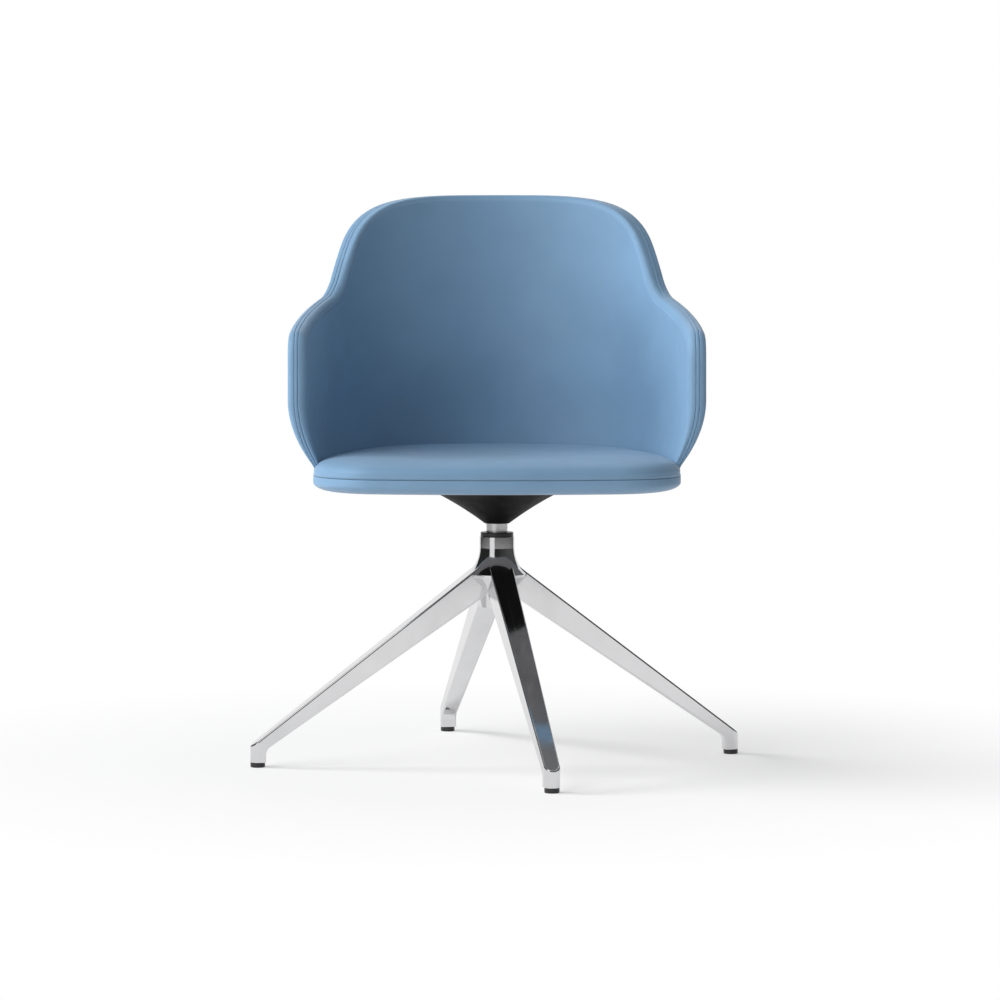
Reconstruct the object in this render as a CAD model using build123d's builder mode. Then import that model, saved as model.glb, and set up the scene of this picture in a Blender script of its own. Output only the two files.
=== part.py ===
from build123d import *
import os
from math import acos, atan2, cos, hypot, radians, sin, tan

# A swivel armchair: a wrap-around padded shell on a four-legged cast base.
# Millimetres, Z up. The origin is on the floor, on the swivel axis, and the seat faces -Y.

# Fits
soft_gap = 0.3
running_play = 0.05
press_play = 0.03
bolt_play = 0.3

# Extra stock that is trimmed away
trim_allowance = 40

# Glides under the feet
glide_radius = 10.25
glide_height = 7
glide_edge = 1.2
glide_stem_radius = 4
glide_stem_length = 12

# Base casting
leg_names = ("front", "right", "rear", "left")
base_turn = 12.4
foot_circle_radius = 340
leg_root_width = 35
leg_foot_width = 22
leg_top_slope = 37.2
leg_under_slope = 34
leg_end_height = 30
leg_foot_under = 24.5
leg_edge_radius = 2.5
foot_blend = 14
hub_radius = 24.5
hub_collar = 16.4
hub_height = 99
hub_edge = 0.8
hub_bore_radius = 19
hub_recess = 11
hub_floor = 10
hub_blend = 45
web_edge = 4
web_round = 1.5
web_root_lift = 23

# Swivel bearing
race_thickness = 2.5
race_bore_radius = 9
race_radius = 18
ball_radius = 2.45
ball_count = 14
ball_circle_radius = 13.5
ball_play = 0.05
cage_thickness = 2.2
cage_bore_radius = 10
cage_radius = 17.5

# Swivel post, its bushes and its retaining ring
post_radius = 15
post_taper_lead = 10
post_top_radius = 14.2
spigot_radius = 8
spigot_lift = 5
groove_depth = 1
groove_width = 1.4
ring_thickness = 1.2
ring_radius = 11
ring_opening = 6
wear_washer_thickness = 1.4
wear_washer_radius = 17
bush_lower_lift = 4
bush_lower_height = 20
bush_upper_height = 29
bush_flange_radius = 23
bush_flange_height = 5.5
bush_flange_edge = 0.8
cap_thickness = 2.5
cap_rim_height = 5
cap_rim_width = 2.4

# Seat plate, its fasteners and the trumpet cover
seat_lift = 72
plate_thickness = 4
plate_margin = 15
socket_radius = 20
socket_lift = 12
plate_bolt_circle_radius = 65
plate_bolt_count = 4
bolt_radius = 4
bolt_head_radius = 7
bolt_head_height = 4.5
bolt_key_radius = 2.9
bolt_key_depth = 2.5
washer_radius = 8
washer_thickness = 1.6
nut_flange_radius = 10
nut_flange_thickness = 1.4
nut_barrel_radius = 5.5
nut_barrel_length = 8
cone_wall = 2.5
cone_height = 53.7
cone_bottom_radius = 17.5
cone_top_radius = 108
cone_sag = 3
collar_grip = 6

# Seat outline in plan
seat_half_width = 251.5
seat_rear = 240
widest_y = -108
side_straight = 22
corner_radius = 100
corner_turn = 80

# Seat band, pan and cushion
band_height = 21.5
band_skin = 2.5
band_floor = 3.7
band_edge = 16
pan_thickness = 12
cushion_rise = 31
cushion_crown_run = 95
cushion_crown_power = 3
cushion_skin = 1.5
cushion_crown_steps = (0, 10, 22, 36, 52, 68, 80)

# Wrap-around wall: plan curvature, flare above the seat, lean and layers
side_radius = 680
side_turn = 20
shoulder_turn = 58
rear_turn = 90
flare_lift = 9.5
flare_height = 92
side_flare = 36.5
rear_flare = 22
back_lean = 4
outer_pad_tip = 2.5
outer_pad = 9
core_tip = 2.8
core_wall = 5
inner_pad_tip = 2.6
inner_pad = 11.7
flare_steps = 6

# Rim of the wall in side view
arm_setback = 2
arm_rake = 9
arm_height = 190.5
arm_length = 228
arm_rise = 12.9
arm_corner_radius = 38
elbow_radius = 60
shoulder_rise = 61
shoulder_radius = 138
back_height = 381.5
welt_depth = 6
welt_stand = 0.8

# Heights, stacked from the floor upwards
foot_outer = foot_circle_radius + glide_radius
foot_inner = foot_circle_radius - glide_radius
leg_top_at_hub = leg_end_height + (foot_outer - hub_radius) * tan(radians(leg_top_slope))
leg_under_at_axis = leg_foot_under + foot_inner * tan(radians(leg_under_slope))
blend_reach = hub_blend * tan(radians((90 - leg_top_slope) / 2))
blend_top = leg_top_at_hub + blend_reach
hub_top = blend_top + hub_collar
hub_bottom = hub_top - hub_height
hub_floor_bottom = hub_bottom + hub_recess
hub_floor_top = hub_floor_bottom + hub_floor
web_root_height = hub_bottom + web_root_lift
ball_height = hub_floor_top + race_thickness + ball_radius + ball_play
race_upper_bottom = ball_height + ball_radius + ball_play
post_bottom = race_upper_bottom + race_thickness
seat_underside = hub_top + seat_lift
plate_bottom = seat_underside - plate_thickness
cone_top = seat_underside - soft_gap
cone_bottom = cone_top - cone_height
socket_bottom = cone_bottom + socket_lift
band_top = seat_underside + band_height
pan_bottom = seat_underside + band_floor + soft_gap
pan_top = pan_bottom + pan_thickness
wall_bottom = band_top + soft_gap
flare_bottom = band_top + flare_lift
flare_top = flare_bottom + flare_height
arm_top_height = band_top + arm_height
elbow_height = arm_top_height + arm_length * tan(radians(arm_rise))
back_top = band_top + back_height
wall_top = back_top + trim_allowance

os.makedirs("parts", exist_ok=True)
pieces = {}

# Base casting: a bored hub that flares out into the legs' tops, and one leg repeated round it
leg_top_at_axis = leg_top_at_hub + hub_radius * tan(radians(leg_top_slope))
web_radius = hub_radius + hub_blend * (1 - sin(radians(leg_top_slope)))
web_top = blend_top - hub_blend * cos(radians(leg_top_slope))
leg_angles = [base_turn - 90 + turn for turn in (0, 90, 180, 270)]
leg_half_root = leg_root_width / 2
leg_end_radius = leg_foot_width / 2
leg_end_centre = foot_outer - leg_end_radius
leg_taper = acos(leg_end_radius / hypot(leg_half_root, leg_end_centre)) - atan2(leg_end_centre, leg_half_root)
leg_side_end = (leg_end_centre + leg_end_radius * sin(leg_taper), leg_end_radius * cos(leg_taper))

with BuildPart() as leg:
    with BuildSketch(Plane.XZ) as leg_side:
        with BuildLine():
            Polyline(
                (0, leg_top_at_axis),
                (foot_outer, leg_end_height),
                (foot_outer, glide_height),
                (foot_inner, glide_height),
                (foot_inner, leg_foot_under),
                (0, leg_under_at_axis),
                close=True,
            )
        make_face()
        fillet(leg_side.vertices().sort_by_distance((foot_inner, leg_foot_under))[0], foot_blend)
    extrude(amount=leg_root_width, both=True)
    with BuildSketch():
        with BuildLine():
            Line((leg_side_end[0], -leg_side_end[1]), (0, -leg_half_root))
            Line((0, -leg_half_root), (0, leg_half_root))
            Line((0, leg_half_root), leg_side_end)
            ThreePointArc(leg_side_end, (foot_outer, 0), (leg_side_end[0], -leg_side_end[1]))
        make_face()
    extrude(amount=hub_top, mode=Mode.INTERSECT)
    fillet(leg.edges().sort_by(SortBy.LENGTH)[-4:], leg_edge_radius)

with BuildPart() as base_casting:
    with BuildSketch(Plane.XZ) as hub_side:
        with BuildLine():
            Polyline((hub_radius, blend_top), (hub_radius, hub_top), (0, hub_top), (0, hub_bottom))
            Polyline((0, hub_bottom), (hub_radius, hub_bottom), (hub_radius, web_root_height))
            Polyline((hub_radius, web_root_height), (web_radius, web_top - web_edge), (web_radius, web_top))
            RadiusArc((web_radius, web_top), (hub_radius, blend_top), hub_blend)
        make_face()
        fillet(hub_side.vertices().sort_by(Axis.X)[-2:], web_round)
    revolve(axis=Axis.Z)
    with PolarLocations(0, len(leg_names), start_angle=leg_angles[0]):
        add(leg.part)
    chamfer(base_casting.faces().sort_by(Axis.Z)[-1].edges(), hub_edge)
    with Locations((0, 0, hub_floor_top)):
        Cylinder(hub_bore_radius, hub_top, align=(Align.CENTER, Align.CENTER, Align.MIN), mode=Mode.SUBTRACT)
    with Locations((0, 0, hub_floor_bottom)):
        Cylinder(hub_bore_radius, hub_bottom, align=(Align.CENTER, Align.CENTER, Align.MAX), mode=Mode.SUBTRACT)
    Cylinder(spigot_radius + bolt_play, 2 * hub_top, mode=Mode.SUBTRACT)
    with PolarLocations(foot_circle_radius, len(leg_names), start_angle=leg_angles[0]):
        Cylinder(
            glide_stem_radius + press_play,
            2 * (glide_height + glide_stem_length + bolt_play),
            mode=Mode.SUBTRACT,
        )
pieces["base_casting"] = base_casting.part

# Glides: a round pad with a stem pushed into the foot
for leg_name, leg_angle in zip(leg_names, leg_angles):
    foot = (foot_circle_radius * cos(radians(leg_angle)), foot_circle_radius * sin(radians(leg_angle)))
    with BuildPart() as glide:
        with BuildSketch():
            with Locations(foot):
                Circle(glide_radius)
        extrude(amount=glide_height)
        fillet(glide.faces().sort_by(Axis.Z)[0].edges(), glide_edge)
        with BuildSketch(Plane.XY.offset(glide_height)):
            with Locations(foot):
                Circle(glide_stem_radius)
        extrude(amount=glide_stem_length)
    pieces["glide_" + leg_name] = glide.part


# Turned rings of the bearing and the bushes
def ring(bottom, height, inner_radius, outer_radius):
    with BuildPart() as turned:
        with BuildSketch(Plane.XY.offset(bottom)):
            Circle(outer_radius)
            Circle(inner_radius, mode=Mode.SUBTRACT)
        extrude(amount=height)
    return turned.part


pieces["thrust_race_lower"] = ring(hub_floor_top, race_thickness, race_bore_radius, race_radius)
pieces["thrust_race_upper"] = ring(race_upper_bottom, race_thickness, race_bore_radius, race_radius)
bush_bore_radius = post_radius + running_play
bush_radius = hub_bore_radius - press_play
pieces["lower_bush"] = ring(
    post_bottom + bush_lower_lift, bush_lower_height, bush_bore_radius, bush_radius
)

with BuildPart() as ball_cage:
    add(ring(ball_height - cage_thickness / 2, cage_thickness, cage_bore_radius, cage_radius))
    with Locations((0, 0, ball_height)):
        with PolarLocations(ball_circle_radius, ball_count):
            Cylinder(ball_radius + ball_play, 2 * cage_thickness, mode=Mode.SUBTRACT)
pieces["ball_cage"] = ball_cage.part

with BuildPart() as bearing_balls:
    with Locations((0, 0, ball_height)):
        with PolarLocations(ball_circle_radius, ball_count):
            Sphere(ball_radius)
pieces["bearing_balls"] = bearing_balls.part

with BuildPart() as upper_bush:
    with BuildSketch(Plane.XY.offset(hub_top)):
        Circle(bush_radius)
    extrude(amount=-bush_upper_height)
    with BuildSketch(Plane.XY.offset(hub_top)):
        Circle(bush_flange_radius)
    extrude(amount=bush_flange_height)
    fillet(upper_bush.faces().sort_by(Axis.Z)[-1].edges(), bush_flange_edge)
    Cylinder(bush_bore_radius, 3 * hub_top, mode=Mode.SUBTRACT)
pieces["upper_bush"] = upper_bush.part

# Swivel post: a spigot with a groove, a round shaft and a tapered head
spigot_bottom = hub_bottom + spigot_lift
post_taper_bottom = socket_bottom - post_taper_lead
washer_top = hub_floor_bottom - running_play
groove_top = washer_top - wear_washer_thickness
groove_bottom = groove_top - groove_width
groove_radius = spigot_radius - groove_depth
with BuildPart() as swivel_post:
    with BuildSketch(Plane.XZ):
        with BuildLine():
            Polyline(
                (0, spigot_bottom),
                (spigot_radius, spigot_bottom),
                (spigot_radius, groove_bottom),
                (groove_radius, groove_bottom),
                (groove_radius, groove_top),
                (spigot_radius, groove_top),
                (spigot_radius, post_bottom),
                (post_radius, post_bottom),
                (post_radius, post_taper_bottom),
                (post_top_radius, plate_bottom),
                (0, plate_bottom),
                close=True,
            )
        make_face()
    revolve(axis=Axis.Z)
pieces["swivel_post"] = swivel_post.part

pieces["wear_washer"] = ring(
    groove_top, wear_washer_thickness, spigot_radius + running_play, wear_washer_radius
)

with BuildPart() as retaining_ring:
    with BuildSketch(Plane.XY.offset(groove_top - (groove_width + ring_thickness) / 2)):
        Circle(ring_radius)
        Circle(groove_radius + running_play, mode=Mode.SUBTRACT)
        with Locations((ring_radius, 0)):
            Rectangle(2 * ring_radius, ring_opening, mode=Mode.SUBTRACT)
    extrude(amount=ring_thickness)
pieces["retaining_ring"] = retaining_ring.part

# Cap that closes the hub from below
with BuildPart() as hub_bottom_cap:
    with BuildSketch(Plane.XY.offset(hub_bottom)):
        Circle(hub_bore_radius - press_play)
    extrude(amount=cap_thickness)
    with BuildSketch(Plane.XY.offset(hub_bottom + cap_thickness)):
        Circle(hub_bore_radius - press_play)
        Circle(hub_bore_radius - press_play - cap_rim_width, mode=Mode.SUBTRACT)
    extrude(amount=cap_rim_height)
pieces["hub_bottom_cap"] = hub_bottom_cap.part

# Seat plate: a disc with a tapered socket that the post is pressed into
plate_radius = plate_bolt_circle_radius + plate_margin
taper = (post_radius - post_top_radius) / (plate_bottom - post_taper_bottom)
socket_mouth_radius = post_radius - taper * (socket_bottom - post_taper_bottom) + press_play
with BuildPart() as seat_plate:
    with BuildSketch(Plane.XZ):
        with BuildLine():
            Polyline(
                (socket_mouth_radius, socket_bottom),
                (socket_radius, socket_bottom),
                (socket_radius, plate_bottom),
                (plate_radius, plate_bottom),
                (plate_radius, seat_underside),
                (0, seat_underside),
                (0, plate_bottom + press_play),
                (post_top_radius + press_play, plate_bottom + press_play),
                close=True,
            )
        make_face()
    revolve(axis=Axis.Z)
    with PolarLocations(plate_bolt_circle_radius, plate_bolt_count, start_angle=45):
        Cylinder(bolt_radius + bolt_play, 3 * seat_underside, mode=Mode.SUBTRACT)
pieces["seat_plate"] = seat_plate.part

# Bolts, washers and tee nuts that hold the plate to the pan
washer_bottom = plate_bottom - washer_thickness
nut_top = pan_top - running_play
with BuildPart() as plate_bolts:
    with BuildSketch(Plane.XY.offset(washer_bottom)):
        with PolarLocations(plate_bolt_circle_radius, plate_bolt_count, start_angle=45):
            Circle(bolt_head_radius)
    extrude(amount=-bolt_head_height)
    with BuildSketch(Plane.XY.offset(washer_bottom)):
        with PolarLocations(plate_bolt_circle_radius, plate_bolt_count, start_angle=45):
            Circle(bolt_radius)
    extrude(amount=nut_top - washer_bottom)
    with BuildSketch(Plane.XY.offset(washer_bottom - bolt_head_height)):
        with PolarLocations(plate_bolt_circle_radius, plate_bolt_count, start_angle=45):
            RegularPolygon(bolt_key_radius, 6)
    extrude(amount=bolt_key_depth, mode=Mode.SUBTRACT)
pieces["plate_bolts"] = plate_bolts.part

with BuildPart() as plate_washers:
    with BuildSketch(Plane.XY.offset(washer_bottom)):
        with PolarLocations(plate_bolt_circle_radius, plate_bolt_count, start_angle=45):
            Circle(washer_radius)
            Circle(bolt_radius + bolt_play, mode=Mode.SUBTRACT)
    extrude(amount=washer_thickness)
pieces["plate_washers"] = plate_washers.part

with BuildPart() as tee_nuts:
    with BuildSketch(Plane.XY.offset(nut_top)):
        with PolarLocations(plate_bolt_circle_radius, plate_bolt_count, start_angle=45):
            Circle(nut_flange_radius)
            Circle(bolt_radius + press_play, mode=Mode.SUBTRACT)
    extrude(amount=-nut_flange_thickness)
    with BuildSketch(Plane.XY.offset(nut_top)):
        with PolarLocations(plate_bolt_circle_radius, plate_bolt_count, start_angle=45):
            Circle(nut_barrel_radius)
            Circle(bolt_radius + press_play, mode=Mode.SUBTRACT)
    extrude(amount=-nut_barrel_length)
pieces["tee_nuts"] = tee_nuts.part

# Trumpet cover: a thin flared skin with a collar that grips the socket
cone_run = cone_top_radius - cone_bottom_radius
cone_slope = hypot(cone_run, cone_height)
cone_middle = (
    cone_bottom_radius + cone_run / 2 - cone_sag * cone_height / cone_slope,
    cone_bottom + cone_height / 2 + cone_sag * cone_run / cone_slope,
)
cone_shift = (-cone_wall * cone_height / cone_slope, cone_wall * cone_run / cone_slope)
collar_inner = socket_radius + running_play
collar_outer = collar_inner + cone_wall
collar_top = socket_bottom + collar_grip


def cone_skin_middle(radius):
    """Height of the middle of the cover's skin at this radius."""
    share = (radius - cone_bottom_radius) / cone_run
    sag = 4 * cone_sag * share * (1 - share)
    return cone_bottom + cone_height * share + (sag + cone_wall / 2) * cone_slope / cone_run


with BuildPart() as cone_cover:
    with BuildSketch(Plane.XZ) as cone_section:
        with BuildLine():
            rim_inner = cone_top_radius - cone_wall * cone_slope / cone_height
            ThreePointArc((cone_bottom_radius, cone_bottom), cone_middle, (cone_top_radius, cone_top))
            Line((cone_top_radius, cone_top), (rim_inner, cone_top))
            ThreePointArc(
                (rim_inner, cone_top),
                (cone_middle[0] + cone_shift[0], cone_middle[1] + cone_shift[1]),
                (cone_bottom_radius, cone_bottom + cone_wall * cone_slope / cone_run),
            )
            Line(
                (cone_bottom_radius, cone_bottom + cone_wall * cone_slope / cone_run),
                (cone_bottom_radius, cone_bottom),
            )
        make_face()
        with BuildLine():
            Polyline(
                (collar_inner, cone_skin_middle(collar_inner)),
                (collar_outer, cone_skin_middle(collar_outer)),
                (collar_outer, collar_top),
                (collar_inner, collar_top),
                close=True,
            )
        make_face()
    revolve(axis=Axis.Z)
pieces["cone_cover"] = cone_cover.part


# Plan of the wall: tangent arcs from the widest point round to the rear
def flare(height):
    share = min(max((height - flare_bottom) / flare_height, 0), 1)
    return 1 - (1 - share) ** 2


def half_width(height):
    return seat_half_width + side_flare * flare(height)


def rear_reach(height):
    return seat_rear + rear_flare * flare(height) + max(height - flare_bottom, 0) * tan(radians(back_lean))


def plan_arcs(height):
    """Turn at the start, turn at the end and radius of each arc of the wall's outer face."""
    first, second = radians(side_turn), radians(shoulder_turn)
    width_left = half_width(height) - side_radius * (1 - cos(first))
    depth_left = rear_reach(height) - widest_y - side_radius * sin(first)
    across, along = cos(first) - cos(second), sin(second) - sin(first)
    determinant = across * (1 - sin(second)) - along * cos(second)
    shoulder_radius_plan = (width_left * (1 - sin(second)) - depth_left * cos(second)) / determinant
    rear_radius_plan = (across * depth_left - along * width_left) / determinant
    return (
        (0, side_turn, side_radius),
        (side_turn, shoulder_turn, shoulder_radius_plan),
        (shoulder_turn, rear_turn, rear_radius_plan),
    )


def plan_point(height, inset, turn, side=1):
    """Point of the wall's plan, inset from its outer face, where it has turned by this angle."""
    x = half_width(height) - inset
    y = widest_y
    for start, end, radius in plan_arcs(height):
        reached = min(max(turn, start), end)
        x -= (radius - inset) * (cos(radians(start)) - cos(radians(reached)))
        y += (radius - inset) * (sin(radians(reached)) - sin(radians(start)))
    return side * x, y


def plan_curve(height, inset):
    """The wall's plan curve from the right arm round the rear to the left arm."""
    for side in (1, -1):
        for start, end in ((0, side_turn), (side_turn, shoulder_turn)):
            turns = (start, (start + end) / 2, end)
            ThreePointArc(*[plan_point(height, inset, turn, side) for turn in turns])
    ThreePointArc(
        plan_point(height, inset, shoulder_turn),
        plan_point(height, inset, rear_turn),
        plan_point(height, inset, shoulder_turn, -1),
    )


def seat_face(height, inset):
    """Closed seat outline: the wall's plan at seat level with a rounded front."""
    turn = radians(corner_turn)
    centre_x = seat_half_width - corner_radius
    corner_y = widest_y - side_straight
    front_radius = corner_radius + centre_x / cos(turn)
    front_centre = corner_y + (front_radius - corner_radius) * sin(turn)
    reach = corner_radius - inset
    with BuildSketch(Plane.XY.offset(height)) as outline:
        with BuildLine():
            plan_curve(flare_bottom, inset)
            for side in (1, -1):
                side_x = side * (seat_half_width - inset)
                corner_end = (side * (centre_x + reach * cos(turn)), corner_y - reach * sin(turn))
                corner_middle = (
                    side * (centre_x + reach * cos(turn / 2)),
                    corner_y - reach * sin(turn / 2),
                )
                Line((side_x, widest_y), (side_x, corner_y))
                ThreePointArc((side_x, corner_y), corner_middle, corner_end)
            ThreePointArc(
                (centre_x + reach * cos(turn), corner_y - reach * sin(turn)),
                (0, front_centre - front_radius + inset),
                (-centre_x - reach * cos(turn), corner_y - reach * sin(turn)),
            )
        make_face()
    return outline.sketch


def wall_face(height, outer_inset, inner_inset):
    """Closed U-shaped section of one layer of the wall."""
    with BuildSketch(Plane.XY.offset(height)) as section:
        with BuildLine():
            plan_curve(height, outer_inset)
            plan_curve(height, inner_inset)
            for side in (1, -1):
                Line(plan_point(height, outer_inset, 0, side), plan_point(height, inner_inset, 0, side))
        make_face()
    return section.sketch


# Layers of the wall, each as its insets at the seat and above the flare
def layer_inset(tip, full, height):
    return tip + (full - tip) * flare(height)


core_outer = (outer_pad_tip + soft_gap, outer_pad + soft_gap)
core_inner = (core_outer[0] + core_tip, core_outer[1] + core_wall)
pad_outer = (core_inner[0] + soft_gap, core_inner[1] + soft_gap)
pad_inner = (pad_outer[0] + inner_pad_tip, pad_outer[1] + inner_pad)


def wall_layer(outer, inner, bottom, top, steps):
    """Sections of one layer, evenly spaced in height."""
    heights = [bottom + (top - bottom) * step / steps for step in range(steps + 1)]
    return [
        wall_face(height, layer_inset(*outer, height), layer_inset(*inner, height)) for height in heights
    ]


def wall_solid(outer, inner, bottom, top):
    """One layer of the wall: upright by the seat, then a curved flare and a straight lean."""
    upright = wall_layer(outer, inner, bottom, flare_bottom, 1)
    flared = wall_layer(outer, inner, flare_bottom, flare_top, flare_steps)
    leaning = wall_layer(outer, inner, flare_top, top, 1)
    with BuildPart() as layer:
        loft(upright)
        loft(flared)
        loft(leaning)
    return layer.part


# Rim of the wall in side view, with its front edge, arm, elbow and shoulder
arm_front_bottom_y = widest_y + arm_setback
arm_front_top_y = arm_front_bottom_y + arm_rake
elbow_y = arm_front_top_y + arm_length
shoulder_y = elbow_y + (back_top - elbow_height) / tan(radians(shoulder_rise))
behind = rear_reach(wall_top) + trim_allowance
below = seat_underside
with BuildSketch(Plane.YZ) as rim_face:
    with BuildLine():
        Polyline(
            (arm_front_bottom_y, below),
            (arm_front_bottom_y, wall_bottom),
            (arm_front_top_y, arm_top_height),
            (elbow_y, elbow_height),
            (shoulder_y, back_top),
            (behind, back_top),
            (behind, below),
            close=True,
        )
    make_face()
    fillet(rim_face.vertices().sort_by_distance((arm_front_top_y, arm_top_height))[0], arm_corner_radius)
    fillet(rim_face.vertices().sort_by_distance((elbow_y, elbow_height))[0], elbow_radius)
    fillet(rim_face.vertices().sort_by_distance((shoulder_y, back_top))[0], shoulder_radius)


def rim_block(inset):
    """Everything under the rim, drawn in by the inset, right across the chair."""
    with BuildPart() as block:
        with BuildSketch(Plane.YZ):
            add(rim_face.sketch_local)
            offset(amount=-inset, kind=Kind.INTERSECTION)
        extrude(amount=half_width(wall_top) + trim_allowance, both=True)
    return block.part


rim_at_cover = rim_block(0)
rim_at_welt = rim_block(-welt_stand)
rim_at_core = rim_block(welt_depth)

# Outer padded cover of the back and arms
with BuildPart() as back_outer_cover:
    add(wall_solid((0, 0), (outer_pad_tip, outer_pad), wall_bottom, wall_top))
    add(rim_at_cover, mode=Mode.INTERSECT)
pieces["back_outer_cover"] = back_outer_cover.part

# Inner padded cover of the back and arms
with BuildPart() as back_inner_pad:
    add(wall_solid(pad_outer, pad_inner, wall_bottom, wall_top))
    add(rim_at_cover, mode=Mode.INTERSECT)
pieces["back_inner_pad"] = back_inner_pad.part

# Welt that closes the joint between the two covers along the rim
with BuildPart() as rim_welt:
    add(wall_solid(core_outer, core_inner, wall_bottom, wall_top))
    add(rim_at_welt, mode=Mode.INTERSECT)
    add(rim_block(welt_depth - soft_gap), mode=Mode.SUBTRACT)
pieces["rim_welt"] = rim_welt.part

# Moulded bucket core: a pan with a wall that stands up round its sides and rear
pan_inset = core_outer[0] + core_tip / 2
with BuildPart() as core_side:
    add(wall_solid(core_outer, core_inner, pan_top - core_tip / 2, wall_top))
    add(rim_at_core, mode=Mode.INTERSECT)

with BuildPart() as shell_core:
    loft([seat_face(pan_bottom, band_edge), seat_face(pan_top, pan_inset)])
    add(core_side.part)
    with PolarLocations(plate_bolt_circle_radius, plate_bolt_count, start_angle=45):
        Cylinder(nut_barrel_radius + press_play, 3 * seat_underside, mode=Mode.SUBTRACT)
    with Locations((0, 0, pan_top)):
        with PolarLocations(plate_bolt_circle_radius, plate_bolt_count, start_angle=45):
            Cylinder(
                nut_flange_radius + soft_gap,
                2 * (nut_flange_thickness + running_play),
                mode=Mode.SUBTRACT,
            )
pieces["shell_core"] = shell_core.part

# Upholstered band round the pan, closed below
with BuildPart() as band_hollow:
    extrude(seat_face(seat_underside + band_floor, band_skin), amount=band_top)
    fillet(band_hollow.faces().sort_by(Axis.Z)[0].edges(), band_edge - band_skin)

with BuildPart() as seat_band_cover:
    extrude(seat_face(seat_underside, 0), amount=band_top - seat_underside)
    fillet(seat_band_cover.faces().sort_by(Axis.Z)[0].edges(), band_edge)
    add(band_hollow.part, mode=Mode.SUBTRACT)
    with PolarLocations(plate_bolt_circle_radius, plate_bolt_count, start_angle=45):
        Cylinder(bolt_radius + bolt_play, 3 * seat_underside, mode=Mode.SUBTRACT)
pieces["seat_band_cover"] = seat_band_cover.part


# Seat cushion: a crowned form inside the wall, as foam in a sewn cover
def crowned_form(skin):
    """Crowned seat form, drawn in by the skin's thickness and kept clear of the wall."""
    sections = []
    for step in cushion_crown_steps:
        run = cushion_crown_run * (1 - cos(radians(step)) ** (2 / cushion_crown_power))
        rise = cushion_rise * sin(radians(step)) ** (2 / cushion_crown_power)
        drop = skin if step > 0 else 0
        sections.append(seat_face(wall_bottom + rise - drop, run + skin + soft_gap))
    clearance = soft_gap + skin
    wall_space = wall_solid(
        (-trim_allowance, -trim_allowance),
        (pad_inner[0] + clearance, pad_inner[1] + clearance),
        pan_top,
        flare_top + soft_gap,
    )
    with BuildPart() as form:
        loft(sections)
        add(wall_space, mode=Mode.SUBTRACT)
    return form.part


with BuildPart() as seat_foam:
    add(crowned_form(cushion_skin + soft_gap))
    extrude(seat_face(pan_top + soft_gap, pad_inner[0] + soft_gap + cushion_skin), amount=band_top - pan_top)
pieces["seat_foam"] = seat_foam.part

with BuildPart() as seat_cushion_cover:
    add(crowned_form(0))
    add(crowned_form(cushion_skin), mode=Mode.SUBTRACT)
pieces["seat_cushion_cover"] = seat_cushion_cover.part

for piece_name, piece in pieces.items():
    piece.label = piece_name
    export_step(piece, f"parts/{piece_name}.step")
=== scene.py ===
from math import asin, cos, exp, pi, radians, sin, tan, tanh

import bmesh
import bpy
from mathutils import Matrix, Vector


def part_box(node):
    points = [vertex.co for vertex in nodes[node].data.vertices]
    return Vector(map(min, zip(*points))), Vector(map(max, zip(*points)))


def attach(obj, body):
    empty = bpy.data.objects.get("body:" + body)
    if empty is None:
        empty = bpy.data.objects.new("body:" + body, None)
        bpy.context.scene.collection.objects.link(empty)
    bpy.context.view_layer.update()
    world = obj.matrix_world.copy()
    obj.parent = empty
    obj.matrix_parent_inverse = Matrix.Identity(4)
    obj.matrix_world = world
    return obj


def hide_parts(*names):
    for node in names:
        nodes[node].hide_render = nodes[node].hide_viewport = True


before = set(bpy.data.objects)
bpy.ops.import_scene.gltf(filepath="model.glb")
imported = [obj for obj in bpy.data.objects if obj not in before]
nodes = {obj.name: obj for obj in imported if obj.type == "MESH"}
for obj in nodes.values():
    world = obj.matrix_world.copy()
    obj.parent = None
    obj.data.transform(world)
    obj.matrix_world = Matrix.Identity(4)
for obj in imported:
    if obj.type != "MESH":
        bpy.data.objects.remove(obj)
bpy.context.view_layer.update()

# A padded swivel armchair. Metres, Z up.
# The origin is on the floor, on the swivel axis, and the seat faces -Y.
scene = bpy.context.scene

# Sizes that the frame gives
band_low, band_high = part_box("seat_band_cover")
wall_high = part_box("back_outer_cover")[1]
cushion_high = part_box("seat_cushion_cover")[1]
seat_half_width = band_high.x
seat_rear = band_high.y
seat_underside = band_low.z
band_top = band_high.z
back_top = wall_high.z
side_flare = wall_high.x - seat_half_width

# Plan of the seat and of the wall that wraps round it
widest_y = -0.108
side_straight = 0.022
corner_radius = 0.100
corner_turn = radians(80)
side_radius = 0.680
side_turn = radians(20)
shoulder_turn = radians(58)
rear_turn = radians(90)
flare_lift = 0.0095
flare_height = 0.092
rear_flare = 0.022
back_lean = radians(4)

# Layers of the wall: thickness at the foot of the wall and above the flare
layer_gap = 0.0003
outer_pad = (0.0025, 0.009)
core_wall = (0.0028, 0.005)
inner_pad = (0.0026, 0.0117)

# Rim of the wall in side view
arm_setback = 0.002
arm_rake = 0.009
arm_height = 0.1905
arm_length = 0.228
arm_rise = radians(12.9)
arm_corner_radius = 0.038
elbow_radius = 0.060
shoulder_rise = radians(61)
shoulder_radius = 0.138

# Mesh spacing
column_spacing = 0.005
face_rows = 36
edge_depth = 0.025
edge_rows = 4
roll_steps = 8
arc_steps = 24

# Share of the rim's full rounding that is left at the foot of the wall and along the top of the back
foot_fullness = 0.3
top_fullness = 0.35

flare_bottom = band_top + flare_lift
wall_bottom = band_top + layer_gap
below_wall = seat_underside - edge_depth


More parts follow.
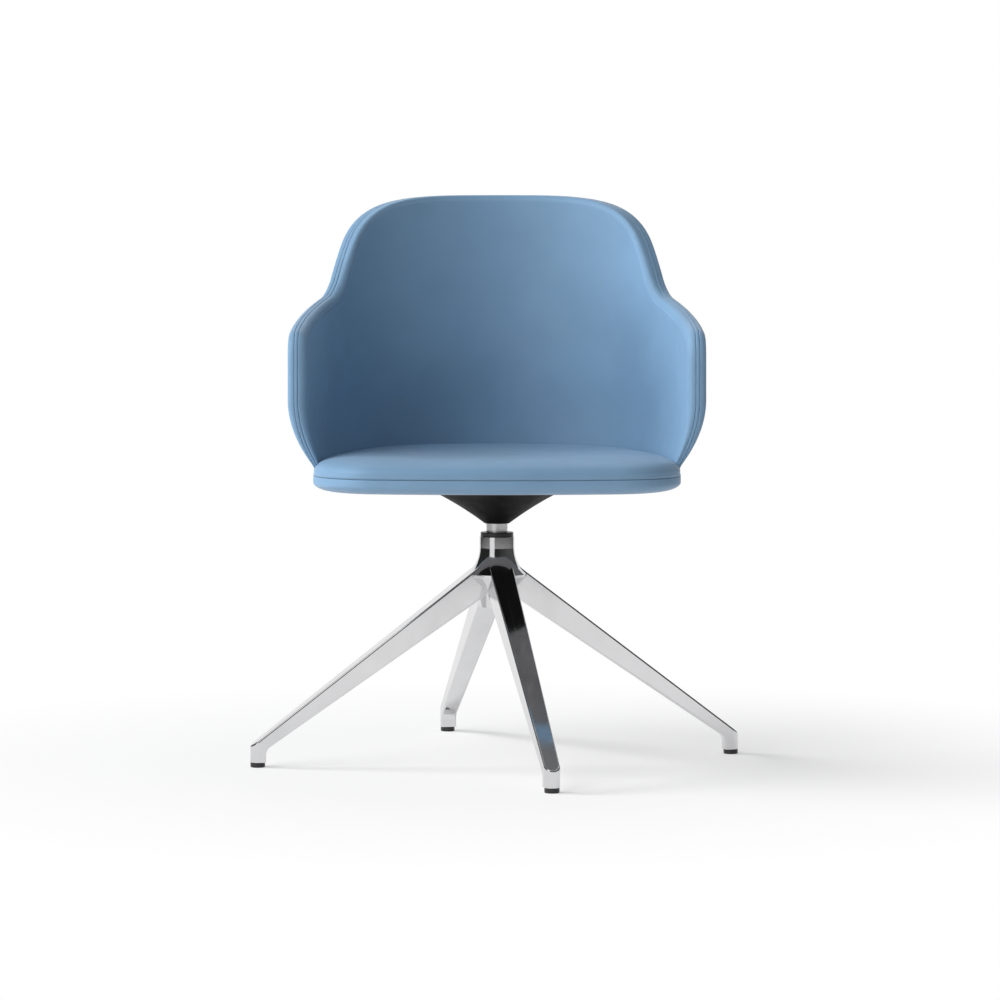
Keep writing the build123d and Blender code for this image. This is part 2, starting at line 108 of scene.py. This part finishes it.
# Plan of the wall: tangent arcs from the widest point round to the rear
def flare(height):
    share = min(max((height - flare_bottom) / flare_height, 0), 1)
    return 1 - (1 - share) ** 2


def half_width(height):
    return seat_half_width + side_flare * flare(height)


def rear_reach(height):
    return seat_rear + rear_flare * flare(height) + max(height - flare_bottom, 0) * tan(back_lean)


def plan_arcs(height):
    """Turn at the start, turn at the end and radius of each arc of the wall's outer face."""
    width_left = half_width(height) - side_radius * (1 - cos(side_turn))
    depth_left = rear_reach(height) - widest_y - side_radius * sin(side_turn)
    across = cos(side_turn) - cos(shoulder_turn)
    along = sin(shoulder_turn) - sin(side_turn)
    determinant = across * (1 - sin(shoulder_turn)) - along * cos(shoulder_turn)
    middle_radius = (width_left * (1 - sin(shoulder_turn)) - depth_left * cos(shoulder_turn)) / determinant
    rear_radius = (across * depth_left - along * width_left) / determinant
    return (
        (0, side_turn, side_radius),
        (side_turn, shoulder_turn, middle_radius),
        (shoulder_turn, rear_turn, rear_radius),
    )


def plan_point(height, inset, turn):
    """Point of the wall's plan, inset from its outer face, where it has turned by this angle."""
    x = half_width(height) - inset
    y = widest_y
    for start, end, radius in plan_arcs(height):
        reached = min(max(turn, start), end)
        x -= (radius - inset) * (cos(start) - cos(reached))
        y += (radius - inset) * (sin(reached) - sin(start))
    return x, y


def turn_at_depth(height, y):
    """How far the wall's plan has turned where its outer face is at this depth."""
    reached_y = widest_y
    for start, end, radius in plan_arcs(height):
        end_y = reached_y + radius * (sin(end) - sin(start))
        if y <= end_y:
            return asin(min(sin(start) + (y - reached_y) / radius, 1))
        reached_y = end_y
    return rear_turn


# The wall unrolled: its length from the widest point stands for its turn
unrolled_arcs = plan_arcs(flare_bottom + flare_height)
unrolled_length = sum((end - start) * radius for start, end, radius in unrolled_arcs)


def length_at_turn(turn):
    return sum((min(max(turn, start), end) - start) * radius for start, end, radius in unrolled_arcs)


def turn_at_length(length):
    for start, end, radius in unrolled_arcs:
        if length <= (end - start) * radius:
            return start + length / radius
        length -= (end - start) * radius
    return rear_turn


def layer_inset(layer, height):
    return layer[0] + (layer[1] - layer[0]) * flare(height)


def add_layers(*layers):
    return tuple(sum(values) for values in zip(*layers))


gap_layer = (layer_gap, layer_gap)
outer_face = (0, 0)
core_outer = add_layers(outer_pad, gap_layer)
core_inner = add_layers(core_outer, core_wall)
pad_outer = add_layers(core_inner, gap_layer)
pad_inner = add_layers(pad_outer, inner_pad)


# Rim of the wall, as evenly spaced points of the unrolled wall
def evenly(path, spacing):
    lengths = [0]
    for before, after in zip(path, path[1:]):
        lengths.append(lengths[-1] + (after - before).length)
    count = round(lengths[-1] / spacing)
    points = []
    index = 0
    for step in range(count + 1):
        target = lengths[-1] * step / count
        while index < len(path) - 2 and lengths[index + 1] < target:
            index += 1
        share = (target - lengths[index]) / (lengths[index + 1] - lengths[index])
        points.append(path[index].lerp(path[index + 1], share))
    return points


def rounded_path(corners, radii):
    """Points along a line whose inner corners are rounded."""
    path = [corners[0]]
    for before, corner, after, radius in zip(corners, corners[1:], corners[2:], radii):
        back = (before - corner).normalized()
        onwards = (after - corner).normalized()
        half_angle = back.angle(onwards) / 2
        centre = corner + (back + onwards).normalized() * radius / sin(half_angle)
        start = corner + back * radius / tan(half_angle) - centre
        end = corner + onwards * radius / tan(half_angle) - centre
        path += [centre + start.slerp(end, step / arc_steps) * radius for step in range(arc_steps + 1)]
    return path + [corners[-1]]


arm_front_y = widest_y + arm_setback
arm_top = band_top + arm_height
elbow_y = arm_front_y + arm_rake + arm_length
elbow_height = arm_top + arm_length * tan(arm_rise)
shoulder_y = elbow_y + (back_top - elbow_height) / tan(shoulder_rise)
rim_side_view = rounded_path(
    [
        Vector((arm_front_y, below_wall)),
        Vector((arm_front_y, wall_bottom)),
        Vector((arm_front_y + arm_rake, arm_top)),
        Vector((elbow_y, elbow_height)),
        Vector((shoulder_y, back_top)),
        Vector((rear_reach(back_top), back_top)),
    ],
    [elbow_radius, arm_corner_radius, elbow_radius, shoulder_radius],
)
rim = evenly(
    [
        Vector((length_at_turn(turn_at_depth(point.y, point.x)), point.y))
        for point in evenly(rim_side_view, column_spacing / 2)
    ],
    column_spacing,
)


def rim_inward(index):
    """Direction from the rim into the unrolled wall."""
    before = rim[max(index - 1, 0)]
    beyond = Vector((rim[index].x + column_spacing, rim[index].y))
    after = rim[index + 1] if index + 1 < len(rim) else beyond
    along = (after - before).normalized()
    return Vector((along.y, -along.x))


rim_normals = [rim_inward(index) for index in range(len(rim))]


# Mesh helpers
def mesh_piece(name, mesh, material, body="seat"):
    piece = bpy.data.objects.new(name, mesh)
    scene.collection.objects.link(piece)
    mesh.materials.append(material)
    mesh.polygons.foreach_set("use_smooth", [True] * len(mesh.polygons))
    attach(piece, body)
    return piece


def grid_mesh(name, columns, closed):
    """Mesh of a grid of points; each column is one section, and a closed section joins its ends."""
    rows = len(columns[0])
    points = [point for column in columns for point in column]
    faces = []
    for column in range(len(columns) - 1):
        for row in range(rows if closed else rows - 1):
            corner = column * rows + row
            beside = column * rows + (row + 1) % rows
            faces.append((corner, beside, beside + rows, corner + rows))
    mesh = bpy.data.meshes.new(name)
    mesh.from_pydata(points, [], faces)
    return mesh


def wall_mesh(name, section, closed=False):
    """Mesh of one layer of the wall; section gives each column's unrolled places and their insets."""
    columns = []
    for side in (1, -1):
        half = []
        for index in range(len(rim)):
            column = []
            for place, inset in section(index):
                x, y = plan_point(place.y, inset, turn_at_length(place.x))
                column.append(Vector((side * x, y, place.y)))
            half.append(column)
        columns += half if side > 0 else half[-2::-1]
    mesh = grid_mesh(name, columns, closed)
    shape = bmesh.new()
    shape.from_mesh(mesh)
    everything = shape.verts[:] + shape.edges[:] + shape.faces[:]
    cut = bmesh.ops.bisect_plane(
        shape, geom=everything, plane_co=(0, 0, wall_bottom), plane_no=(0, 0, -1), clear_outer=True
    )
    bottom_edges = [edge for edge in cut["geom_cut"] if isinstance(edge, bmesh.types.BMEdge)]
    bmesh.ops.holes_fill(shape, edges=bottom_edges)
    for edge in bottom_edges:
        edge.smooth = False
    bmesh.ops.triangulate(shape, faces=[face for face in shape.faces if len(face.verts) > 4])
    bmesh.ops.recalc_face_normals(shape, faces=shape.faces)
    shape.to_mesh(mesh)
    shape.free()
    return mesh


def smooth_share(value):
    share = min(max(value, 0), 1)
    return share * share * (3 - 2 * share)


def quarter_round(across, depth):
    """Points (share of the width, depth below the rim) of a rounded edge, from the face to the rim."""
    for step in range(roll_steps + 1):
        angle = pi / 2 * step / roll_steps
        yield across * (1 - cos(angle)), depth * (1 - sin(angle))


def padded_section(outer, inner, outer_round, inner_round):
    """Section of a padded layer: outer face, a rounded edge along the rim, and inner face."""

    def section(index):
        height = max(rim[index].y, wall_bottom)
        fullness = layer_inset((foot_fullness, 1), height)
        fullness *= 1 - (1 - top_fullness) * smooth_share((height - arm_top) / (back_top - arm_top))
        outer_width, outer_depth = (size * fullness for size in outer_round)
        inner_width, inner_depth = (size * fullness for size in inner_round)
        over_rim = list(quarter_round(outer_width, outer_depth))
        from_rim = reversed(list(quarter_round(inner_width, inner_depth)))
        over_rim += [(1 - share, depth) for share, depth in from_rim]
        along = index / (len(rim) - 1)
        inner_edge = rim[index] + rim_normals[index] * edge_depth
        base = Vector((edge_depth + (unrolled_length - edge_depth) * along, below_wall))
        face = [base.lerp(inner_edge, row / face_rows) for row in range(face_rows)]
        for place in face:
            yield place, layer_inset(outer, place.y)
        for row in range(edge_rows):
            place = inner_edge.lerp(rim[index] + rim_normals[index] * outer_depth, row / edge_rows)
            yield place, layer_inset(outer, place.y)
        for across, depth in over_rim:
            place = rim[index] + rim_normals[index] * depth
            yield place, layer_inset(outer, place.y) * (1 - across) + layer_inset(inner, place.y) * across
        for row in range(edge_rows):
            place = inner_edge.lerp(rim[index] + rim_normals[index] * inner_depth, 1 - row / edge_rows)
            yield place, layer_inset(inner, place.y)
        for place in reversed(face):
            yield place, layer_inset(inner, place.y)

    return section


# Materials
def new_material(name):
    material = bpy.data.materials.new(name)
    material.use_nodes = True
    tree = material.node_tree
    return material, tree, tree.nodes["Principled BSDF"]


def add_node(tree, kind, inputs, **settings):
    made = tree.nodes.new("ShaderNode" + kind)
    for key, value in settings.items():
        setattr(made, key, value)
    for key, value in inputs.items():
        if isinstance(value, bpy.types.NodeSocket):
            tree.links.new(value, made.inputs[key])
        else:
            made.inputs[key].default_value = value
    return made


def object_coords(tree):
    return add_node(tree, "TexCoord", {}).outputs["Object"]


def noise(tree, scale, detail=3, stretch=(1, 1, 1)):
    mapped = add_node(tree, "Mapping", {"Vector": object_coords(tree), "Scale": stretch})
    inputs = {"Vector": mapped.outputs["Vector"], "Scale": scale, "Detail": detail}
    return add_node(tree, "TexNoise", inputs).outputs["Fac"]


def ramp(tree, value, low, high, colours):
    """Colour that runs from the first colour at low to the second at high."""
    made = add_node(tree, "ValToRGB", {"Fac": value})
    for element, place, colour in zip(made.color_ramp.elements, (low, high), colours):
        element.position = place
        element.color = (*colour, 1)
    return made.outputs["Color"]


def span(tree, value, low, high):
    """The value's middle range, mapped to run from low to high."""
    inputs = {"Value": value, "From Min": 0.3, "From Max": 0.7, "To Min": low, "To Max": high}
    return add_node(tree, "MapRange", inputs).outputs["Result"]


def bump(tree, height, strength, distance, normal=None):
    inputs = {"Height": height, "Strength": strength, "Distance": distance}
    if normal is not None:
        inputs["Normal"] = normal
    return add_node(tree, "Bump", inputs).outputs["Normal"]


def shade(colour, factor):
    return tuple(channel * factor for channel in colour)


def leatherette(name, colour):
    """Smooth coated fabric: a fine pebble grain, soft mottling and edges rubbed a little paler."""
    material, tree, shader = new_material(name)
    patches = noise(tree, scale=7, detail=4)
    patch_colours = (shade(colour, 0.94), shade(colour, 1.05))
    mottle = ramp(tree, patches, low=0.35, high=0.65, colours=patch_colours)
    pointiness = add_node(tree, "NewGeometry", {}).outputs["Pointiness"]
    rubbed = ramp(tree, pointiness, low=0.52, high=0.60, colours=((0, 0, 0), (0.10, 0.10, 0.10)))
    paler = add_node(tree, "Mix", {0: rubbed, 6: mottle}, data_type="RGBA")
    paler.inputs[7].default_value = (*shade(colour, 1.25), 1)
    tree.links.new(paler.outputs[2], shader.inputs["Base Color"])
    pebble_inputs = {"Vector": object_coords(tree), "Scale": 950}
    pebbles = add_node(tree, "TexVoronoi", pebble_inputs, feature="SMOOTH_F1")
    grain = bump(tree, pebbles.outputs["Distance"], strength=0.16, distance=0.0002)
    pulled = bump(tree, noise(tree, scale=60, detail=2), strength=0.10, distance=0.0008, normal=grain)
    tree.links.new(pulled, shader.inputs["Normal"])
    dulled = span(tree, noise(tree, scale=40), low=0.48, high=0.58)
    tree.links.new(dulled, shader.inputs["Roughness"])
    shader.inputs["Specular IOR Level"].default_value = 0.7
    shader.inputs["Sheen Weight"].default_value = 0.10
    shader.inputs["Sheen Roughness"].default_value = 0.4
    return material


def metal(name, colour, roughness, grain_stretch, grain_strength):
    """Bare metal: smudged roughness and fine lines left by its polishing or turning."""
    material, tree, shader = new_material(name)
    tint = ramp(tree, noise(tree, scale=25), low=0.3, high=0.7, colours=(shade(colour, 0.95), colour))
    tree.links.new(tint, shader.inputs["Base Color"])
    shader.inputs["Metallic"].default_value = 1
    smudge = span(tree, noise(tree, scale=18, detail=5), low=roughness * 0.8, high=roughness * 1.3)
    tree.links.new(smudge, shader.inputs["Roughness"])
    scratches = noise(tree, scale=900, detail=2, stretch=grain_stretch)
    lines = bump(tree, scratches, strength=grain_strength, distance=0.00005)
    tree.links.new(lines, shader.inputs["Normal"])
    return material


def plastic(name, colour, roughness, texture_strength, gloss=0.5):
    """Moulded plastic or paint with a fine spark-eroded texture."""
    material, tree, shader = new_material(name)
    tones = (shade(colour, 0.85), shade(colour, 1.2))
    tint = ramp(tree, noise(tree, scale=30), low=0.3, high=0.7, colours=tones)
    tree.links.new(tint, shader.inputs["Base Color"])
    dulled = span(tree, noise(tree, scale=60), low=roughness * 0.9, high=roughness * 1.15)
    tree.links.new(dulled, shader.inputs["Roughness"])
    pits = bump(tree, noise(tree, scale=1800, detail=2), strength=texture_strength, distance=0.0001)
    tree.links.new(pits, shader.inputs["Normal"])
    shader.inputs["Specular IOR Level"].default_value = gloss
    return material


def plywood(name, light, dark):
    """Moulded veneer with grain that runs up the wall."""
    material, tree, shader = new_material(name)
    grain = noise(tree, scale=60, detail=6, stretch=(1, 1, 0.08))
    tint = ramp(tree, grain, low=0.35, high=0.65, colours=(dark, light))
    tree.links.new(tint, shader.inputs["Base Color"])
    tree.links.new(span(tree, grain, low=0.65, high=0.5), shader.inputs["Roughness"])
    tree.links.new(bump(tree, grain, strength=0.2, distance=0.0003), shader.inputs["Normal"])
    return material


def woven(name, colour):
    """Plain dust cloth: crossed threads with a little fuzz."""
    material, tree, shader = new_material(name)
    across = noise(tree, scale=700, detail=1, stretch=(1, 0.05, 1))
    along = noise(tree, scale=700, detail=1, stretch=(0.05, 1, 1))
    threads = add_node(tree, "Math", {0: across, 1: along}, operation="MAXIMUM").outputs["Value"]
    tint = ramp(tree, threads, low=0.4, high=0.7, colours=(shade(colour, 0.6), shade(colour, 1.25)))
    tree.links.new(tint, shader.inputs["Base Color"])
    tree.links.new(bump(tree, threads, strength=0.4, distance=0.0003), shader.inputs["Normal"])
    tree.links.new(span(tree, threads, low=0.95, high=0.8), shader.inputs["Roughness"])
    shader.inputs["Specular IOR Level"].default_value = 0.2
    return material


blue = leatherette("blue_leatherette", (0.176, 0.312, 0.472))
aluminium = metal(
    "polished_aluminium", (0.70, 0.70, 0.71), roughness=0.09, grain_stretch=(1, 1, 1), grain_strength=0.03
)
bright_steel = metal(
    "turned_bright_steel",
    (0.82, 0.82, 0.83),
    roughness=0.38,
    grain_stretch=(0.02, 0.02, 1),
    grain_strength=0.15,
)
bearing_steel = metal(
    "ground_steel", (0.56, 0.56, 0.57), roughness=0.28, grain_stretch=(0.05, 1, 1), grain_strength=0.2
)
cover_plastic = plastic(
    "textured_black_plastic", (0.004, 0.004, 0.004), roughness=0.55, texture_strength=0.35, gloss=0.08
)
glide_plastic = plastic("smooth_black_plastic", (0.014, 0.014, 0.015), roughness=0.30, texture_strength=0.10)
black_paint = plastic("black_powder_coat", (0.020, 0.020, 0.021), roughness=0.55, texture_strength=0.50)
under_cloth = woven("grey_underside_cloth", (0.20, 0.20, 0.207))
veneer = plywood("moulded_plywood", light=(0.62, 0.45, 0.28), dark=(0.44, 0.29, 0.16))

node_materials = {
    aluminium: ["base_casting"],
    bright_steel: ["swivel_post"],
    bearing_steel: [
        "thrust_race_lower", "thrust_race_upper", "bearing_balls", "wear_washer", "retaining_ring",
        "plate_washers", "plate_bolts", "tee_nuts",
    ],
    cover_plastic: ["cone_cover", "ball_cage", "hub_bottom_cap"],
    glide_plastic: ["glide_front", "glide_right", "glide_rear", "glide_left", "upper_bush", "lower_bush"],
    black_paint: ["seat_plate"],
    veneer: ["shell_core"],
}
for material, names in node_materials.items():
    for name in names:
        nodes[name].data.materials.clear()
        nodes[name].data.materials.append(material)

# Padded cover of the outside of the back and arms
outer_roll = (0.90, 0.008)
groove_side = (0.07, 0.0007)
outer_section = padded_section(outer_face, outer_pad, outer_roll, groove_side)
outer_cover = mesh_piece("outer_cover", wall_mesh("outer_cover", outer_section), blue)
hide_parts("back_outer_cover")

# Padded cover of the inside of the back and arms
inner_roll = (0.92, 0.011)
inner_section = padded_section(pad_outer, pad_inner, groove_side, inner_roll)
inner_cover = mesh_piece("inner_cover", wall_mesh("inner_cover", inner_section), blue)
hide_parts("back_inner_pad")

# Welt sewn between the two covers along the rim
welt_depth = 0.0055
welt_bead = 0.0007
welt_stand = 0.0003
welt_steps = 8


def welt_section(index):
    height = max(rim[index].y, wall_bottom)
    half = (layer_inset(core_inner, height) - layer_inset(core_outer, height)) / 2
    for step in range(welt_steps + 1):
        angle = pi * step / welt_steps
        place = rim[index] + rim_normals[index] * (welt_bead * (1 - sin(angle)) - welt_stand)
        yield place, layer_inset(core_outer, place.y) + half * (1 - cos(angle))
    root = rim[index] + rim_normals[index] * welt_depth
    yield root, layer_inset(core_inner, root.y)
    yield root, layer_inset(core_outer, root.y)


rim_piping = mesh_piece("rim_piping", wall_mesh("rim_piping", welt_section, closed=True), blue)
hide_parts("rim_welt")


# Seat outline: points of its edge with their outward normals, from the front centre round
def seat_outline():
    centre_x = seat_half_width - corner_radius
    front_radius = corner_radius + centre_x / cos(corner_turn)
    corner_y = widest_y - side_straight
    front_y = corner_y + (front_radius - corner_radius) * sin(corner_turn) - front_radius
    arcs = [
        (-pi / 2, -corner_turn, front_radius),
        (-corner_turn, 0, corner_radius),
        *plan_arcs(flare_bottom),
    ]
    place = Vector((0, front_y))
    half = []
    for start, end, radius in arcs:
        if start == 0:
            place = place + Vector((0, side_straight))
        count = round((end - start) * radius / column_spacing)
        centre = place - Vector((cos(start), sin(start))) * radius
        for step in range(count):
            angle = start + (end - start) * step / count
            half.append((centre + Vector((cos(angle), sin(angle))) * radius, angle))
        place = centre + Vector((cos(end), sin(end))) * radius
    half.append((place, pi / 2))
    right = [(point, Vector((cos(angle), sin(angle)))) for point, angle in half]
    mirror = [(Vector((-p.x, p.y)), Vector((-n.x, n.y))) for p, n in right[-2:0:-1]]
    return right + mirror


outline = seat_outline()


def no_wall(point, normal, height):
    return 0


def ring_mesh(name, rings, least_inset=no_wall):
    """Closed mesh through rings of the seat outline; each ring is (height, inset, scale to the centre)."""
    columns = []
    for height, inset, scale in rings:
        column = []
        for point, normal in outline:
            place = (point - normal * max(inset, least_inset(point, normal, height))) * scale
            column.append(Vector((*place, height)))
        columns.append(column)
    mesh = grid_mesh(name, columns, closed=True)
    shape = bmesh.new()
    shape.from_mesh(mesh)
    ends = bmesh.ops.holes_fill(shape, edges=shape.edges[:])
    bmesh.ops.poke(shape, faces=ends["faces"])
    bmesh.ops.recalc_face_normals(shape, faces=shape.faces)
    shape.to_mesh(mesh)
    shape.free()
    return mesh


# Band round the pan: a rounded skin that is closed below
band_skin = 0.0025
seam_tuck = 0.003
band_flange = 0.0105
seam_round = 0.0016
seam_turns = (0.5, 1.0, pi / 2)
band_curve_start = 0.009
band_curve_run = 0.034
band_curve_steps = 12
disc_reach = 0.9
disc_steps = 12
disc_scales = [1 - disc_reach * step / disc_steps for step in range(disc_steps + 1)]


def band_profile(skin):
    """Height and inset of each ring of the band's side, from its top edge to the flat below."""
    profile = [(band_top - layer_gap, band_flange)]
    if skin == 0:
        for turn in seam_turns:
            profile.append((band_top - seam_round * (1 - cos(turn)), seam_round * (1 - sin(turn))))
    curve_top = band_top - band_curve_start
    curve_height = curve_top - seat_underside - skin
    for step in range(band_curve_steps + 1):
        angle = pi / 2 * step / band_curve_steps
        run = band_curve_run * (1 - cos(angle))
        profile.append((curve_top - curve_height * sin(angle), run + skin))
    return profile


flat_inset = band_curve_run
inside = [(height, inset, 1) for height, inset in band_profile(band_skin)]
outside = [(height, inset, 1) for height, inset in band_profile(0)]
inside_floor = [(seat_underside + band_skin, flat_inset + band_skin, scale) for scale in disc_scales[:0:-1]]
outside_floor = [(seat_underside, flat_inset, scale) for scale in disc_scales[1:]]
band_rings = inside_floor + inside[::-1] + outside + outside_floor
seat_band = mesh_piece("seat_band", ring_mesh("seat_band", band_rings), blue)
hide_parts("seat_band_cover")
seat_band.data.materials.append(under_cloth)
for face in seat_band.data.polygons:
    if face.center.z < seat_underside + band_skin / 2 and face.normal.z < 0:
        face.material_index = 1

# Seat cushion: a crowned form that is tucked into the seam and against the wall, then swollen as cloth
swell_room = 0.005
cushion_rise = cushion_high.z - wall_bottom - swell_room
cushion_clearance = 0.0006
lip_height = 0.0045
lip_groove = 0.0012
lip_width = 0.0015
crown_run = 0.095
crown_power = 3
crown_steps = 30
arm_end_run = 0.012
swell_cap = 0.006
swell_run = 0.045
swell_frames = 20
swell_pressure = 4


def wall_inset(point, normal, height):
    """How far the wall's inner face stands inside the seat outline at this height."""
    outwards = side_flare * flare(height) * abs(normal.x)
    backwards = (rear_reach(height) - seat_rear) * max(normal.y, 0)
    standing = smooth_share((point.y - arm_front_y) / arm_end_run + 1)
    return (layer_inset(pad_inner, height) + cushion_clearance - outwards - backwards) * standing


def swell(piece, pins):
    """Inflates a padded piece with a short cloth simulation; each pin is one vertex's hold, from 0 to 1."""
    group = piece.vertex_groups.new(name="pinned")
    for index, hold in enumerate(pins):
        group.add([index], hold, "REPLACE")
    cloth = piece.modifiers.new("cloth", "CLOTH")
    cloth.settings.vertex_group_mass = group.name
    cloth.settings.use_pressure = True
    cloth.settings.uniform_pressure_force = swell_pressure
    cloth.settings.effector_weights.gravity = 0
    cloth.collision_settings.use_collision = False
    for number in range(1, swell_frames + 1):
        scene.frame_set(number)
    swollen = piece.evaluated_get(bpy.context.evaluated_depsgraph_get()).data
    moves = [after.co - before.co for after, before in zip(swollen.vertices, piece.data.vertices)]
    piece.modifiers.remove(cloth)
    piece.vertex_groups.remove(group)
    scene.frame_set(1)
    for vertex, move in zip(piece.data.vertices, moves):
        vertex.co += move.normalized() * swell_cap * tanh(move.length / swell_cap)


crown = []
for step in range(crown_steps + 1):
    angle = pi / 2 * step / crown_steps
    inset = crown_run * (1 - cos(angle) ** (2 / crown_power))
    rise = cushion_rise * sin(angle) ** (2 / crown_power)
    inset += lip_groove * exp(-(((rise - lip_height) / lip_width) ** 2))
    crown.append((wall_bottom + rise, min(inset, crown_run), 1))
crown_top = [(crown[-1][0], crown_run, scale) for scale in disc_scales[1:]]
tucked = [(wall_bottom, seam_tuck, 1), (wall_bottom, seam_round, 1)]
underneath = [(wall_bottom, seam_tuck, scale) for scale in disc_scales[:0:-1]]
cushion_rings = underneath + tucked + crown + crown_top
seat_cushion = mesh_piece("seat_cushion", ring_mesh("seat_cushion", cushion_rings, wall_inset), blue)
lower_rings = len(underneath) + len(tucked)
crown_holds = [1 - smooth_share(inset / swell_run) for height, inset, scale in crown + crown_top]
holds = [1] * lower_rings + crown_holds
centre_holds = [1, 0]
swell(seat_cushion, [hold for hold in holds for column in outline] + centre_holds)
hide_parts("seat_cushion_cover", "seat_foam")

# Floor: a pale round platform that turns white away from the chair, and still shows the shadow near it
floor_radius = 3.3
floor_sides = 96
floor_tone = 0.94
white_start = 0.4
white_end = 1.0
white_least = 0.4


def seen_rays(tree):
    """One for rays from the camera, from reflections and through clear pieces, and nought for the rest."""
    path = add_node(tree, "LightPath", {}).outputs
    bent = {0: path["Is Glossy Ray"], 1: path["Is Transmission Ray"]}
    mirrored = add_node(tree, "Math", bent, operation="MAXIMUM").outputs["Value"]
    seen = {0: path["Is Camera Ray"], 1: mirrored}
    return add_node(tree, "Math", seen, operation="MAXIMUM").outputs["Value"]


bpy.ops.mesh.primitive_circle_add(vertices=floor_sides, radius=floor_radius, fill_type="NGON")
floor = bpy.context.object
floor.name = "floor"
floor_material, floor_tree, floor_shader = new_material("pale_floor")
floor_shader.inputs["Base Color"].default_value = (floor_tone, floor_tone, floor_tone, 1)
floor_shader.inputs["Roughness"].default_value = 0.7
floor_shader.inputs["Specular IOR Level"].default_value = 0.1
floor_glow = add_node(floor_tree, "Emission", {"Color": (1, 1, 1, 1), "Strength": 1})
floor_distance = add_node(floor_tree, "VectorMath", {0: object_coords(floor_tree)}, operation="LENGTH")
floor_fade = add_node(
    floor_tree,
    "MapRange",
    {
        "Value": floor_distance.outputs["Value"],
        "From Min": white_start,
        "From Max": white_end,
        "To Min": white_least,
        "To Max": 1,
    },
)
floor_share = add_node(
    floor_tree, "Math", {0: floor_fade.outputs["Result"], 1: seen_rays(floor_tree)}, operation="MULTIPLY"
)
floor_mix = add_node(
    floor_tree,
    "MixShader",
    {0: floor_share.outputs["Value"], 1: floor_shader.outputs["BSDF"], 2: floor_glow.outputs["Emission"]},
)
floor_tree.links.new(floor_mix.outputs["Shader"], floor_tree.nodes["Material Output"].inputs["Surface"])
floor.data.materials.append(floor_material)

# Soft lamps: strength, angular size in degrees and direction of each. Reflections don't show them.
lamps = {
    "key_light": (1.85, 20, (0.84, -0.25, -0.46)),
    "front_light": (2.95, 70, (0.76, 0.40, -0.46)),
    "fill_light": (0.3, 60, (-0.97, 0.20, -0.26)),
}
for name, (strength, size, towards) in lamps.items():
    lamp = bpy.data.objects.new(name, bpy.data.lights.new(name, "SUN"))
    lamp.data.energy = strength
    lamp.data.angle = radians(size)
    lamp.rotation_euler = Vector(towards).to_track_quat("-Z", "Y").to_euler()
    lamp.visible_glossy = False
    scene.collection.objects.link(lamp)

# Cards that the metal mirrors: two dark curved ones with gaps between them, and a grey one overhead
screen_radius = 8
screen_heights = (-1.5, 9)
screen_spans = {"left_screen": (130, 222), "right_screen": (254, 408)}
screen_steps = 24
screen_tone = 0.05
screen_roughness = 0.9
overhead_reach = 5
overhead_tone = 0.6
overhead_corners = ((-1, -1), (1, -1), (1, 1), (-1, 1))


def add_screen(name, tone, corners, panels):
    """A matt card that shows in reflections alone."""
    material, _, shader = new_material(name)
    shader.inputs["Base Color"].default_value = (tone, tone, tone, 1)
    shader.inputs["Roughness"].default_value = screen_roughness
    mesh = bpy.data.meshes.new(name)
    mesh.from_pydata(corners, [], panels)
    mesh.materials.append(material)
    screen = bpy.data.objects.new(name, mesh)
    screen.visible_camera = False
    screen.visible_diffuse = False
    screen.visible_shadow = False
    scene.collection.objects.link(screen)


for name, (start, end) in screen_spans.items():
    turns = [radians(start + (end - start) * step / screen_steps) for step in range(screen_steps + 1)]
    columns = [(screen_radius * cos(turn), screen_radius * sin(turn)) for turn in turns]
    corners = [(x, y, height) for x, y in columns for height in screen_heights]
    panels = [(2 * step, 2 * step + 2, 2 * step + 3, 2 * step + 1) for step in range(screen_steps)]
    add_screen(name, screen_tone, corners, panels)
overhead = [(x * overhead_reach, y * overhead_reach, screen_heights[1]) for x, y in overhead_corners]
add_screen("overhead_screen", overhead_tone, overhead, [(0, 1, 2, 3)])

# Studio: white where it is seen or mirrored, and a dimmer soft light on the object
ambient_level = 0.22
world = bpy.data.worlds.new("studio")
world.use_nodes = True
scene.world = world
sky = world.node_tree
level_inputs = {"Value": seen_rays(sky), "To Min": ambient_level, "To Max": 1}
level = add_node(sky, "MapRange", level_inputs).outputs["Result"]
background = sky.nodes["Background"]
background.inputs["Color"].default_value = (1, 1, 1, 1)
sky.links.new(level, background.inputs["Strength"])

# Camera at the photograph's angle, with its pitch in degrees below level
camera_distance = 6.1
camera_height = 0.803
camera_pitch = 4.095
camera_sensor = 36
camera_lens = 157.4
camera_shift = 0.003
camera = bpy.data.objects.new("camera", bpy.data.cameras.new("camera"))
camera.location = (0, -camera_distance, camera_height)
camera.rotation_euler = (radians(90 - camera_pitch), 0, 0)
camera.data.sensor_width = camera_sensor
camera.data.lens = camera_lens
camera.data.shift_x = camera_shift
scene.collection.objects.link(camera)
scene.camera = camera
scene.view_settings.view_transform = "Standard"
